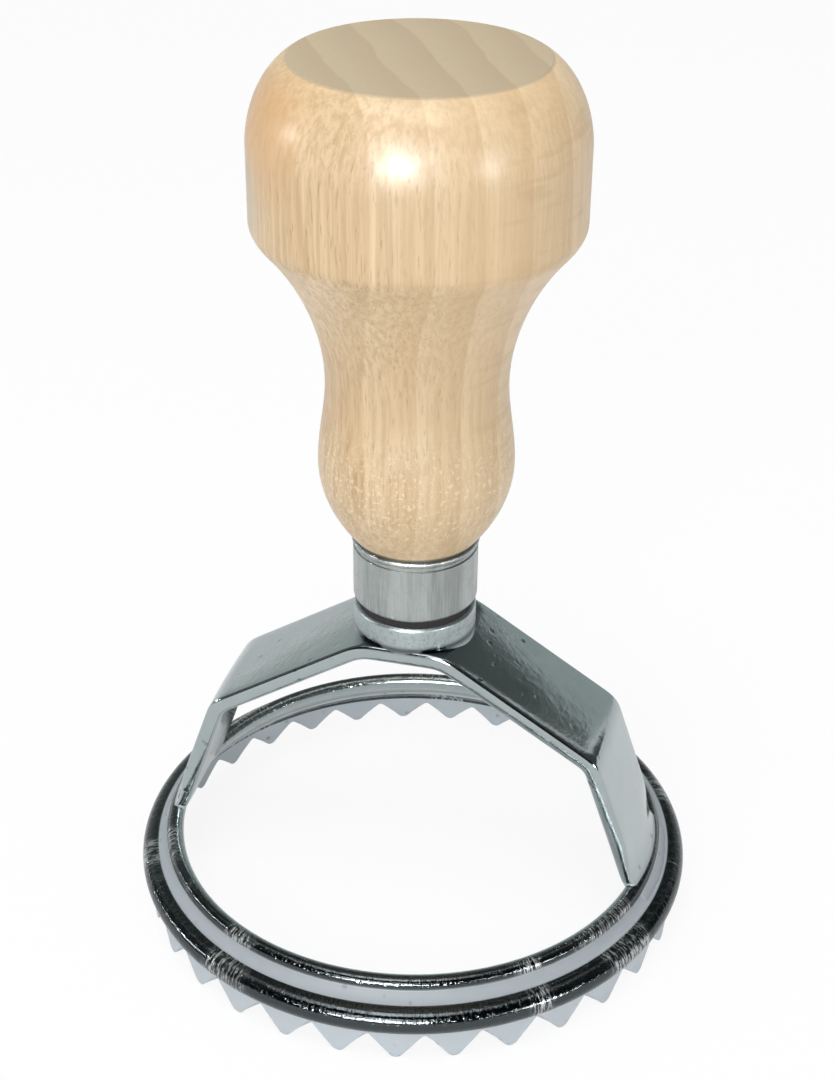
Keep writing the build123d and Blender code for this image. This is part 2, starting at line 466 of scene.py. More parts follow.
@dataclass(frozen=True)
class BeechFinish:
    """Clear-lacquered pale beech: growth layers, fibres, short flecks, end grain on the flat top."""

    pale: Triple = srgb(229, 203, 163)
    warm: Triple = srgb(212, 181, 137)
    fibre: Triple = srgb(186, 149, 104)
    fleck: Triple = srgb(160, 120, 82)
    amber: Triple = srgb(214, 168, 114)
    grey: Triple = srgb(196, 184, 160)
    # Light specks on the belly: painted highlight for the sparkle of the lacquer.
    painted_sparkle: Triple = srgb(248, 232, 204)
    end_pale: Triple = srgb(194, 175, 143)
    end_dark: Triple = srgb(178, 157, 125)
    # Painted shade: near black on the tenon in the narrow gap under the ferrule and in a line at the ferrule's
    # mouth.
    painted_shade: Triple = srgb(22, 18, 14)
    # millimetres between growth layers, and how they lean and turn in degrees
    layer: float = 5.9
    layer_lean: Pair = (1.5, 2.0)
    layer_turn: float = -30.4
    # heights in millimetres
    top: float = 119.4
    gap_top: float = 48.3
    mouth: float = 56.75
    belly: float = 66.5
    amber_spot: Triple = (-14.5, -12.5, 113.5)
    grey_spot: Triple = (-18.5, -9.0, 104.0)
    lacquer: float = 0.24
    lacquer_rough: float = 0.27
    bump_depth: float = 0.00012
    bump_strength: float = 0.4

    def spot(self, g: Graph, where: Socket, place: Triple, size: float, soft: float) -> Socket:
        """One near a point and nothing further off, by the distance to it."""
        gap = g.add("ShaderNodeVectorMath", {"operation": "DISTANCE"}, {0: where, 1: place}, "Value")
        return 1.0 - gap.above(size, soft)

    def grain(self, g: Graph, scale: Triple, cells: float, detail: float, rough: float) -> Socket:
        """Noise whose cells are drawn out where the scale of an axis is small."""
        return g.noise(g.place(scale=scale), cells, detail, rough)

    def layers(self, g: Graph, across: Socket) -> Socket:
        """Growth layers: a saw of the way across them, bent by noise, that falls off at each tooth's end."""
        bend = self.grain(g, (1.0, 1.0, 0.30), 0.055, 2.0, 0.5)
        saw = (across / self.layer + bend * 0.8).fraction()
        return saw * 0.75 * (1.0 - saw.above(0.965, 0.035))

    def material(self) -> bpy.types.Material:
        """Build the material: wood whose grain runs along Z, in Object coordinates."""
        material, g = new_material("lacquered_beech")
        where = g.place()
        z = g.axes(where)[2]
        lean = (*map(radians, self.layer_lean), radians(self.layer_turn))
        across = g.axes(g.place(turn=lean))[0]
        layers = self.layers(g, across)
        patch = self.grain(g, (1.0, 1.0, 0.5), 0.05, 2.0, 0.5)
        stripes = self.grain(g, (1.0, 1.0, 0.03), 1.5, 4.0, 0.62)
        flecks = self.grain(g, (1.0, 1.0, 0.10), 3.6, 2.0, 0.5)
        ripple = self.grain(g, (0.18, 0.18, 1.0), 0.75, 2.0, 0.5)
        coarse = 1.0 - across.above(-3.0, 10.0)
        low = z.near(self.belly, 7.0, 5.0)
        # Sparkle spots on the belly: bumps in the lacquer, also painted lighter as highlights.
        sparkle_spots = g.noise(where, 1.9, 2.0, 0.6).above(0.60, 0.05) * low
        on_top = z.above(self.top - 0.15, 0.12)
        gap = 1.0 - z.above(self.gap_top, 0.4)
        fewer_flecks = 1.0 - z.above(115.0, 3.0) * 0.7
        tone = g.blend(layers, self.pale, self.warm)
        for share, layer in (
            (stripes.above(0.52, 0.16) * (0.24 + coarse * 0.34), self.fibre),
            (flecks.above(0.64, 0.07) * (0.17 + coarse * 0.30) * fewer_flecks, self.fleck),
            (ripple.above(0.58, 0.10) * across.above(6.0, 5.0) * 0.28, self.fibre),
            (patch.above(0.55, 0.14) * 0.15, self.amber),
            (self.spot(g, where, self.amber_spot, 6.5, 5.0) * 0.70, self.amber),
            (self.spot(g, where, self.grey_spot, 4.6, 2.6) * 0.55, self.grey),
            # painted sparkle highlights
            (sparkle_spots * 0.45, self.painted_sparkle),
        ):
            tone = g.blend(share, tone, layer)
        end = g.blend(layers * 1.1, self.end_pale, self.end_dark)
        end = g.blend(g.noise(where, 2.2, 4.0, 0.65).above(0.5, 0.2) * 0.30, end, self.end_dark)
        colour = g.blend(on_top, tone, end)
        # painted shade on the tenon in the gap
        colour = g.blend(gap, colour, self.painted_shade)
        # painted shade in a line at the ferrule's mouth
        colour = g.blend(z.near(self.mouth, 0.50, 0.22) * 0.8, colour, self.painted_shade)
        rough = 0.36 + stripes * 0.12 + on_top * 0.14 + gap * 0.5
        height = stripes * 0.5 + flecks * 0.35 + sparkle_spots * 0.9 + g.noise(where, 0.9, 3.0, 0.6) * low * 0.9
        g.finish_with(g.principled(
            Base_Color=colour, Roughness=rough, Normal=g.bump(height, self.bump_depth, self.bump_strength),
            Coat_Weight=(1.0 - gap) * self.lacquer, Coat_Roughness=self.lacquer_rough))
        return material


class Paintbox:
    """Makes each finish once and hands it out."""

    def __init__(self) -> None:
        """Build every finish."""
        recipes = {Finish.CHROME: ChromeFinish(), Finish.SATIN: SatinFinish(),
                   Finish.BEECH: BeechFinish(), Finish.ZINC: ZincFinish()}
        self.materials = {finish: recipe.material() for finish, recipe in recipes.items()}

    def dress(self, piece: bpy.types.Object, finish: Finish) -> None:
        """Give a piece one finish, in a new slot or in every slot that it has.

        Args:
            piece: the object.
            finish: which one.
        """
        if not piece.material_slots:
            piece.data.materials.append(None)
        for slot in piece.material_slots:
            slot.material = self.materials[finish]


@dataclass
class Surface:
    """Vertices, quads and a map in millimetres, gathered from one or more grids."""

    points: list[np.ndarray] = field(default_factory=list)
    quads: list[np.ndarray] = field(default_factory=list)
    flat: list[np.ndarray] = field(default_factory=list)
    count: int = 0

    def grid(self, xyz: np.ndarray, uv: np.ndarray, wrap_rows: bool, wrap_columns: bool) -> None:
        """Add a grid of points as quads.

        Args:
            xyz: rows by columns by 3, in millimetres.
            uv: rows by columns by 2, the same along the surface.
            wrap_rows: whether the last row joins the first.
            wrap_columns: whether the last column joins the first.
        """
        rows, columns = xyz.shape[:2]
        index = np.arange(rows * columns).reshape(rows, columns) + self.count
        below = np.roll(index, -1, axis=0) if wrap_rows else index[1:]
        here = index if wrap_rows else index[:-1]
        left_below = below if wrap_columns else below[:, :-1]
        left = here if wrap_columns else here[:, :-1]
        right = np.roll(here, -1, axis=1) if wrap_columns else here[:, 1:]
        right_below = np.roll(below, -1, axis=1) if wrap_columns else below[:, 1:]
        quads = np.stack([left, right, right_below, left_below], axis=-1).reshape(-1, 4)
        self.points.append(xyz.reshape(-1, 3))
        self.flat.append(uv.reshape(-1, 2))
        self.quads.append(quads)
        self.count += rows * columns

    def piece(self, name: str, sharp: float) -> bpy.types.Object:
        """Make the object, merged, closed and turned outwards.

        Args:
            name: the piece's name.
            sharp: degrees above which an edge stays sharp.

        Returns:
            The new object, at the origin.
        """
        mesh = bpy.data.meshes.new(name)
        points = np.concatenate(self.points) * MM
        quads = np.concatenate(self.quads)
        mesh.from_pydata(points.tolist(), [], quads.tolist())
        layer = mesh.uv_layers.new(name="along")
        loops = np.empty(len(mesh.loops), dtype=np.int32)
        mesh.loops.foreach_get("vertex_index", loops)
        layer.data.foreach_set("uv", np.concatenate(self.flat)[loops].astype(np.float32).ravel())
        work = bmesh.new()
        work.from_mesh(mesh)
        bmesh.ops.remove_doubles(work, verts=work.verts, dist=2e-6)
        bmesh.ops.recalc_face_normals(work, faces=work.faces)
        work.to_mesh(mesh)
        work.free()
        mesh.shade_smooth()
        mesh.set_sharp_from_angle(angle=radians(sharp))
        mesh.update()
        return new_object(name, mesh)


def hermite(start: Pair, end: Pair, go: Pair,
            arrive: Pair, steps: int) -> np.ndarray:
    """A cubic from start to end whose tangents are as long as the chord, without its last point.

    Args:
        start: first point, radius and height.
        end: last point.
        go: direction at the start.
        arrive: direction at the end.
        steps: number of points.

    Returns:
        Points, steps by 2.
    """
    t = np.linspace(0, 1, steps, endpoint=False)[:, None]
    a, b = np.array(start, float), np.array(end, float)
    chord = np.linalg.norm(b - a)
    u = np.array(go, float) / np.hypot(*go) * chord
    v = np.array(arrive, float) / np.hypot(*arrive) * chord
    return ((2 * t ** 3 - 3 * t ** 2 + 1) * a + (t ** 3 - 2 * t ** 2 + t) * u
            + (-2 * t ** 3 + 3 * t ** 2) * b + (t ** 3 - t ** 2) * v)


def arc(centre: Pair, radius: float, start: float, end: float, steps: int) -> np.ndarray:
    """Points of a circular arc, centre plus radius times (cosine, sine), without its last point.

    Args:
        centre: middle of the circle.
        radius: its radius.
        start: first angle in degrees.
        end: last angle in degrees.
        steps: number of points.

    Returns:
        Points, steps by 2.
    """
    t = np.radians(np.linspace(start, end, steps, endpoint=False))
    return np.stack([centre[0] + radius * np.cos(t), centre[1] + radius * np.sin(t)], axis=1)


def line(start: Pair, end: Pair, steps: int) -> np.ndarray:
    """Evenly spaced points of a straight run, without its last point."""
    t = np.linspace(0, 1, steps, endpoint=False)[:, None]
    return np.array(start, float) * (1 - t) + np.array(end, float) * t


def on_circle(centre: Pair, radius: float, angle: float) -> Pair:
    """The point of a circle at an angle in degrees, centre plus radius times (cosine, sine)."""
    return (centre[0] + radius * cos(radians(angle)), centre[1] + radius * sin(radians(angle)))


def bow(start: Pair, end: Pair, sag: float, steps: int) -> np.ndarray:
    """A parabola from start to end that leaves the chord by a sag in its middle, without its last point.

    Args:
        start: first point, radius and height.
        end: last point.
        sag: how far the middle stands off, to the left of the way from start to end when positive.
        steps: number of points.

    Returns:
        Points, steps by 2.
    """
    a, b = np.array(start, float), np.array(end, float)
    run = b - a
    left = np.array([-run[1], run[0]]) / np.linalg.norm(run)
    t = np.linspace(0, 1, steps, endpoint=False)[:, None]
    return a + run * t + left * sag * 4 * t * (1 - t)


def soften(points: np.ndarray, pace: float, spread: float) -> np.ndarray:
    """Space an open chain evenly, then replace each point by the Gaussian mean of its neighbours.

    Args:
        points: the chain, n by 2.
        pace: millimetres between the new points.
        spread: standard deviation of the mean in millimetres, which rounds each crease.

    Returns:
        The new chain, which keeps both its ends.
    """
    step = np.linalg.norm(np.diff(points, axis=0), axis=1)
    along = np.concatenate([[0], np.cumsum(step)])
    fine = pace / 4
    count = int(round(along[-1] / fine / 4)) * 4 + 1
    place = np.linspace(0, along[-1], count)
    even = np.stack([np.interp(place, along, points[:, k]) for k in (0, 1)], axis=1)
    reach = int(3 * spread / fine) + 1
    weight = np.exp(-0.5 * (np.arange(-reach, reach + 1) * fine / spread) ** 2)
    weight /= weight.sum()
    before = 2 * even[0] - even[reach:0:-1]
    after = 2 * even[-1] - even[-2:-reach - 2:-1]
    padded = np.concatenate([before, even, after])
    mean = np.stack([np.convolve(padded[:, k], weight, mode="valid") for k in (0, 1)], axis=1)
    return mean[::4]


def lathe(surface: Surface, outline: np.ndarray, around: int) -> None:
    """Carry a closed outline, n by 2, round Z: x = r cos a, y = r sin a.

    Args:
        surface: what the grid is added to.
        outline: radius and height of its points.
        around: steps round the axis.
    """
    a = np.linspace(0, tau, around, endpoint=False)
    r, z = outline[:, 0], outline[:, 1]
    xyz = np.stack([np.outer(np.cos(a), r), np.outer(np.sin(a), r), np.tile(z, (around, 1))], axis=-1)
    step = np.hypot(np.diff(r, append=r[0]), np.diff(z, append=z[0]))
    along = np.concatenate([[0], np.cumsum(step)[:-1]])
    uv = np.stack([np.outer(a, np.full_like(r, max(r.max(), 1))), np.tile(along, (around, 1))], axis=-1)
    surface.grid(xyz, uv, True, True)


@dataclass
class Casting:
    """The one-piece chromed casting: toothed ring, arched strap and boss."""

    teeth: int = 31
    phase: float = 2.6
    skirt: float = 37.5
    tip_wall: float = 0.5
    wall: float = 0.9
    depth: float = 3.85
    bevel: float = 1.0
    notch_round: float = 0.45
    tip_round: float = 1.0
    ease: float = 0.09
    bead: float = 1.86
    reach: float = 1.05
    bead_z: float = 5.88
    bead_lap: float = 100.0
    rim: float = 1.15
    rim_in: float = 32.6
    rim_z: float = 9.3
    rim_lap: float = 15.0
    cove: float = 0.35
    hollow: float = 0.3
    columns: int = 30
    pace: float = 0.3
    width: float = 16.2
    thick: float = 2.3
    edge: float = 0.5
    dome: float = 0.15
    crown: float = 43.0
    crown_half: float = 6.0
    crown_bend: float = 7.0
    shoulder: Pair = (27.05, 29.7)
    shoulder_bend: float = 4.6
    foot: Pair = (33.35, 11.6)
    foot_bend: float = 4.0
    foot_lap: float = 0.35
    boss: float = 8.1
    boss_rise: float = 3.4

    def edge_height(self, angle: np.ndarray, inward: np.ndarray) -> np.ndarray:
        """Height of the zigzag edge: an arc at each notch, a straight flank, an arc round each tip.

        The flank leans by the angle at which it is tangent to both arcs, and a notch is shallower inwards.

        Args:
            angle: radians round the ring.
            inward: millimetres in from the outside of the skirt, one for each angle.

        Returns:
            Heights in millimetres.
        """
        reach = self.skirt - inward
        pitch = tau / self.teeth
        across = (angle - radians(self.phase)) / pitch - 0.5
        off = np.abs(across - np.round(across)) * pitch * reach
        half = pi * reach / self.teeth
        depth = self.depth - inward * self.bevel
        drop = depth - self.notch_round - self.tip_round
        flank = np.arctan2(drop, half) + np.arcsin((self.notch_round + self.tip_round) / np.hypot(half, drop))
        high_end, low_end = self.notch_round * np.sin(flank), half - self.tip_round * np.sin(flank)
        top = depth - self.notch_round + np.sqrt(np.maximum(self.notch_round ** 2 - off ** 2, 0))
        slope = depth - self.notch_round * (1 - np.cos(flank)) - (off - high_end) * np.tan(flank)
        tip = self.tip_round - np.sqrt(np.maximum(self.tip_round ** 2 - (half - off) ** 2, 0))
        return np.where(off < high_end, top, np.where(off < low_end, slope, tip))

    def bead_middle(self) -> float:
        """Radius of the circle on which the bead's section is centred."""
        return self.skirt + self.reach - self.bead

    def inner_wall(self, steps: int) -> np.ndarray:
        """The inner wall from the rim down to the teeth, bowed outwards by the hollow, as a parabola."""
        return bow((self.rim_in, self.rim_z), (self.skirt - self.wall, self.depth + 0.25), -self.hollow, steps)

    def section(self) -> np.ndarray:
        """The ring's section above the teeth: bead, cove, rolled rim and inner wall, creases softened.

        Returns:
            Radius and height, n by 2, from under the bead over the rim and down to the teeth.
        """
        middle, rim_middle = self.bead_middle(), self.rim_in + self.rim
        low = -np.degrees(np.arccos((self.skirt - middle) / self.bead))
        bead = arc((middle, self.bead_z), self.bead, low, self.bead_lap, 40)
        rim = arc((rim_middle, self.rim_z), self.rim, self.rim_lap, 180, 40)
        crease = on_circle((middle, self.bead_z), self.bead, self.bead_lap)
        upper = on_circle((rim_middle, self.rim_z), self.rim, self.rim_lap)
        chain = np.concatenate([bead, bow(crease, upper, self.cove, 20), rim, self.inner_wall(30)])
        return soften(chain, self.pace, 0.16)

    def ring(self, surface: Surface) -> None:
        """Add the ring: its section is carried round Z, and its lowest rows follow the zigzag."""
        section = self.section()
        around = self.teeth * self.columns
        a = radians(self.phase) + np.linspace(0, tau, around, endpoint=False)
        low = section[-1]
        tip = self.skirt - self.tip_wall
        lean = (tip - low[0]) / low[1]
        inner = self.edge_height(a, np.full_like(a, self.tip_wall))
        for _ in range(3):
            inner = self.edge_height(a, self.tip_wall + inner * lean)
        outer = self.edge_height(a, np.zeros_like(a))
        rows = 7
        turn = np.radians([0.0, 45.0, 90.0])[None, :]
        outer_r = np.repeat(self.skirt - self.ease * (1 - np.sin(turn)), around, axis=0)
        outer_z = outer[:, None] + self.ease * (1 - np.cos(turn))
        share = np.linspace(0, 1, rows)[None, 1:-1]
        up_z = outer_z[:, -1:] * (1 - share) + section[0, 1] * share
        up_r = np.full_like(up_z, self.skirt)
        down = np.linspace(0, 1, rows)[None, 1:]
        down_z = low[1] * (1 - down) + (inner[:, None] + self.ease) * down
        down_r = tip - lean * down_z
        inner_r = (tip - lean * inner[:, None]) + self.ease * (1 - np.sin(turn[:, 1::-1]))
        inner_z = inner[:, None] + self.ease * (1 - np.cos(turn[:, 1::-1]))
        r = np.concatenate([outer_r, up_r, np.tile(section[:, 0], (around, 1)), down_r, inner_r], axis=1)
        z = np.concatenate([outer_z, up_z, np.tile(section[:, 1], (around, 1)), down_z, inner_z], axis=1)
        xyz = np.stack([np.cos(a)[:, None] * r, np.sin(a)[:, None] * r, z], axis=-1)
        step = np.hypot(np.diff(section[:, 0]), np.diff(section[:, 1]))
        along = np.concatenate([[0], np.cumsum(step)])
        run = np.concatenate([np.concatenate([outer_z, up_z], axis=1) - section[0, 1],
                              np.tile(along, (around, 1)),
                              along[-1] + low[1] - np.concatenate([down_z, inner_z], axis=1)], axis=1)
        uv = np.stack([np.repeat(a[:, None] * self.skirt, r.shape[1], axis=1), run], axis=-1)
        surface.grid(xyz, uv, True, True)

    def path(self) -> np.ndarray:
        """The outer line of the strap from the left foot to the right: straight runs and tangent arcs.

        Returns:
            Points, n by 2, as X and Z.
        """
        crease = on_circle((self.bead_middle(), self.bead_z), self.bead, self.bead_lap)
        toe = (crease[0] - self.foot_lap, crease[1] + self.foot_lap * 1.25)
        half = [(self.crown_half, self.crown), self.shoulder, self.foot, toe, (toe[0], self.bead_z + 0.6)]
        corners = [(-x, z) for x, z in reversed(half)] + half
        bends = [self.crown_bend, self.shoulder_bend, self.foot_bend, 0.01]
        radii = bends[::-1] + bends
        chain = [np.array([corners[0]])]
        for i, radius in enumerate(radii, start=1):
            before, here, after = (np.array(corners[i + k]) for k in (-1, 0, 1))
            u = (before - here) / np.linalg.norm(before - here)
            v = (after - here) / np.linalg.norm(after - here)
            half_turn = np.arccos(np.clip(u @ v, -1, 1)) / 2
            reach = radius / np.tan(half_turn)
            centre = here + (u + v) / np.linalg.norm(u + v) * radius / np.sin(half_turn)
            start, end = here + u * reach, here + v * reach
            first = np.arctan2(*(start - centre)[::-1])
            turn = (np.arctan2(*(end - centre)[::-1]) - first + pi) % tau - pi
            t = np.linspace(0, 1, 14)[:, None]
            chain.append(np.concatenate([centre[0] + radius * np.cos(first + turn * t),
                                         centre[1] + radius * np.sin(first + turn * t)], axis=1))
        chain.append(np.array([corners[-1]]))
        return soften(np.concatenate(chain), 0.7, 0.5)

    def wrap_feet(self, xyz: np.ndarray, outside: np.ndarray) -> np.ndarray:
        """Bend the feet to the ring's round: low down, X gives way to the root of X squared less Y squared.

        Args:
            xyz: points in millimetres.
            outside: for each point of a section, one on the strap's outer side and nothing on its inner side.

        Returns:
            The same points, bent fully at the rim and not at all half a strap's width above it.
        """
        share = np.clip((self.rim_z + self.width / 2 - xyz[..., 2]) / (self.width / 2), 0, 1)
        share = share * share * (3 - 2 * share) * outside[None, :]
        round_x = np.sqrt(np.maximum(xyz[..., 0] ** 2 - xyz[..., 1] ** 2, 0)) * np.sign(xyz[..., 0])
        bent = xyz.copy()
        bent[..., 0] = xyz[..., 0] * (1 - share) + round_x * share
        return bent

    def clear_inside(self, xyz: np.ndarray) -> np.ndarray:
        """Keep the strap out of the ring's hollow: X grows until the point meets the wall or its cone.

        Args:
            xyz: points in millimetres.

        Returns:
            The same points, none nearer the axis than the inner wall, or the cone above the rim.
        """
        wall = self.inner_wall(30)[::-1]
        cone_top = self.rim_z + self.rim + self.thick
        heights = np.concatenate([wall[:, 1], [self.rim_z, cone_top]])
        radii = np.concatenate([wall[:, 0] + 0.05, [self.rim_in + 0.05, self.rim_in - self.thick]])
        least = np.interp(xyz[..., 2], heights, radii, right=0.0)
        x = np.sqrt(np.maximum(least ** 2 - xyz[..., 1] ** 2, 0))
        moved = xyz.copy()
        moved[..., 0] = np.where(np.abs(xyz[..., 0]) < x, np.sign(xyz[..., 0]) * x, xyz[..., 0])
        return moved

    def strap(self, surface: Surface) -> None:
        """Add the strap: a rounded, slightly domed bar section carried along the path, square to it."""
        path = self.path()
        ahead = np.gradient(path, axis=0)
        ahead /= np.linalg.norm(ahead, axis=1)[:, None]
        inward = np.stack([ahead[:, 1], -ahead[:, 0]], axis=1)
        half, thick, edge = self.width / 2, self.thick, self.edge
        ring = np.concatenate([
            arc((half - edge, edge), edge, -90, 0, 8), arc((half - edge, thick - edge), edge, 0, 90, 8),
            line((half - edge, thick), (-half + edge, thick), 10),
            arc((-half + edge, thick - edge), edge, 90, 180, 8), arc((-half + edge, edge), edge, 180, 270, 8),
            line((-half + edge, 0), (half - edge, 0), 14)])
        across, deep = ring[:, 0], ring[:, 1]
        deep = deep + self.dome * (across / half) ** 2 * (1 - deep / thick)
        xyz = np.stack([path[:, None, 0] + inward[:, None, 0] * deep[None, :],
                        np.tile(across, (len(path), 1)),
                        path[:, None, 1] + inward[:, None, 1] * deep[None, :]], axis=-1)
        xyz = self.clear_inside(self.wrap_feet(xyz, 1 - np.clip(deep / thick, 0, 1)))
        run = np.concatenate([[0], np.cumsum(np.linalg.norm(np.diff(path, axis=0), axis=1))])
        around = np.concatenate([[0], np.cumsum(np.hypot(np.diff(across), np.diff(deep)))])
        uv = np.stack([np.repeat(run[:, None], len(ring), axis=1), np.tile(around, (len(path), 1))], axis=-1)
        surface.grid(xyz, uv, False, True)
        for end in (0, -1):
            middle = xyz[end].mean(axis=0)
            cap = np.stack([xyz[end], np.tile(middle, (len(ring), 1))])
            surface.grid(cap, np.stack([uv[end], uv[end]]), False, True)

    def stub(self, surface: Surface) -> None:
        """Add the boss: a short turned stub with a rounded upper edge."""
        low, top, edge = self.crown - self.thick * 0.5, self.crown + self.boss_rise, 0.5
        outline = np.concatenate([
            line((0.0, low), (self.boss, low), 6), line((self.boss, low), (self.boss, top - edge), 6),
            arc((self.boss - edge, top - edge), edge, 0, 90, 8),
            line((self.boss - edge, top), (0.0, top), 6), np.array([[0.0, top]])])
        lathe(surface, outline, 128)

    def build(self, paint: Paintbox) -> bpy.types.Object:
        """Make the casting's piece, dress it and seat it on the frame.

        Args:
            paint: the finishes.

        Returns:
            The piece.
        """
        surface = Surface()
        self.ring(surface)
        self.strap(surface)
        self.stub(surface)
        piece = surface.piece("chromed_casting", 32)
        paint.dress(piece, Finish.CHROME)
        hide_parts("cutter_casting")
        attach(piece, "root")
        return piece


@dataclass
class Ferrule:
    """The satin tube round the tenon."""

    base: float = 47.5
    tall: float = 9.1
    radius: float = 8.2
    wall: float = 0.6
    rim: float = 0.9
    rim_out: float = 0.18
    groove: float = 0.16
    turn_in: float = 0.5

    def build(self, paint: Paintbox) -> bpy.types.Object:
        """Make the tube with its rolled rim, groove and turned-in edge.

        Args:
            paint: the finishes.

        Returns:
            The piece.
        """
        mouth, inner = self.base + self.tall, self.radius - self.wall
        rim_low, groove = mouth - self.rim, self.radius - self.groove
        outline = np.concatenate([
            line((inner, self.base), (self.radius - self.turn_in, self.base), 3),
            arc((self.radius - self.turn_in, self.base + self.turn_in), self.turn_in, -90, 0, 8),
            line((self.radius, self.base + self.turn_in), (self.radius, rim_low - 0.6), 10),
            line((self.radius, rim_low - 0.6), (groove, rim_low - 0.45), 3),
            line((groove, rim_low - 0.45), (groove, rim_low), 4),
            arc((groove, mouth - self.rim / 2), self.rim / 2, -90, 90, 14),
            line((groove, mouth), (inner, mouth), 3),
            line((inner, mouth), (inner, self.base), 8)])
        flatter = (self.rim_out + self.groove) / (self.rim / 2)
        rolled = (outline[:, 0] > groove + 1e-6) & (outline[:, 1] > rim_low - 1e-6)
        outline[rolled, 0] = groove + (outline[rolled, 0] - groove) * flatter
        surface = Surface()
        lathe(surface, outline, 160)
        piece = surface.piece("satin_ferrule", 40)
        paint.dress(piece, Finish.SATIN)
        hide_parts("ferrule")
        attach(piece, "root")
        return piece


@dataclass
class Handle:
    """The turned handle: belly, neck and knob above the mouth of the ferrule."""

    mouth: float = 56.6
    seat: float = 46.4
    tenon: float = 7.56
    belly: Pair = (12.55, 10.9)
    neck: Pair = (11.5, 22.1)
    knob: float = 20.3
    corner: float = 43.6
    corner_round: float = 2.6
    shoulder: float = 52.6
    tall: float = 62.8
    top: float = 15.2
    lip: float = 8.04

    def outline(self) -> np.ndarray:
        """The turning's outline: cubics between belly, neck, corner and shoulder.

        Returns:
            Closed outline, n by 2.
        """
        m = self.mouth
        start = (self.lip + 0.75, m + 1.0)
        belly = (self.belly[0], m + self.belly[1])
        neck = (self.neck[0], m + self.neck[1])
        under = (self.knob - self.corner_round * 0.5, m + self.corner - self.corner_round)
        corner = (self.knob, m + self.corner)
        shoulder = (self.knob, m + self.shoulder)
        top = (self.top, m + self.tall)
        return np.concatenate([
            line((0.0, self.seat), (self.tenon, self.seat), 4), line((self.tenon, self.seat), (self.tenon, m), 6),
            line((self.tenon, m), (self.lip, m), 2), line((self.lip, m), start, 4),
            hermite(start, belly, (0.62, 0.78), (0, 1), 30), hermite(belly, neck, (0, 1), (0, 1), 26),
            hermite(neck, under, (0, 1), (0.66, 0.75), 36), hermite(under, corner, (0.66, 0.75), (0, 1), 12),
            line(corner, shoulder, 10), hermite(shoulder, top, (0, 1), (-0.85, 0.45), 26),
            line(top, (0.0, top[1]), 10), np.array([[0.0, top[1]]])])

    def build(self, paint: Paintbox) -> bpy.types.Object:
        """Make the handle's piece.

        Args:
            paint: the finishes.

        Returns:
            The piece.
        """
        surface = Surface()
        lathe(surface, self.outline(), 256)
        piece = surface.piece("beech_handle", 24)
        paint.dress(piece, Finish.BEECH)
        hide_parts("wooden_handle")
        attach(piece, "root")
        return piece


@dataclass(frozen=True)
class Card:
    """A sheet bent to part of a sphere round the object, which only the metal's reflections see."""

    name: str
    azimuth: Pair
    elevation: Pair
    shade: Triple
    away: float = 1.6
    columns: int = 25
    rows: int = 13

    def hang(self, turn: float) -> None:
        """Make the sheet: points at a distance in the direction of azimuth and elevation.

        Args:
            turn: the camera's azimuth in degrees, which azimuths are counted from.
        """
        az = np.radians(np.linspace(*self.azimuth, self.columns) + turn - 90.0)[:, None]
        el = np.radians(np.linspace(*self.elevation, self.rows))[None, :]
        xyz = np.stack([np.cos(el) * np.cos(az), np.cos(el) * np.sin(az), np.sin(el) + 0 * az], axis=-1) * self.away
        index = np.arange(self.columns * self.rows).reshape(self.columns, self.rows)
        quads = np.stack([index[:-1, :-1], index[:-1, 1:], index[1:, 1:], index[1:, :-1]], axis=-1).reshape(-1, 4)
        mesh = bpy.data.meshes.new(self.name)
        mesh.from_pydata(xyz.reshape(-1, 3).tolist(), [], quads.tolist())
        card = new_object(self.name, mesh)
        material, g = new_material(self.name)
        g.finish_with(g.add("ShaderNodeEmission", {}, {"Color": self.shade, "Strength": 1.0}))
        mesh.materials.append(material)
        card.visible_camera = card.visible_diffuse = card.visible_shadow = card.visible_transmission = False


@dataclass(frozen=True)
class Lamp:
    """A rectangular lamp that looks at the handle, placed from the camera's side to the right and up."""

    name: str
    azimuth: float
    elevation: float
    away: float
    size: Pair
    watts: float
    mirrored_only: bool = False
    aim_height: float = 0.06

    def hang(self, turn: float) -> None:
        """Make the lamp; one that is only mirrored lights nothing and shows in reflections.

        Args:
            turn: the camera's azimuth in degrees, which azimuths are counted from.
        """
        data = bpy.data.lights.new(self.name, "AREA")
        data.shape = "RECTANGLE"
        data.size, data.size_y = self.size
        data.energy = self.watts
        lamp = new_object(self.name, data)
        az, el = radians(self.azimuth + turn - 90.0), radians(self.elevation)
        aim = Vector((0.0, 0.0, self.aim_height))
        spot = aim + Vector((cos(el) * cos(az), cos(el) * sin(az), sin(el))) * self.away
        lamp.matrix_world = Matrix.Translation(spot) @ (aim - spot).to_track_quat("-Z", "Y").to_matrix().to_4x4()
        lamp.visible_diffuse = not self.mirrored_only


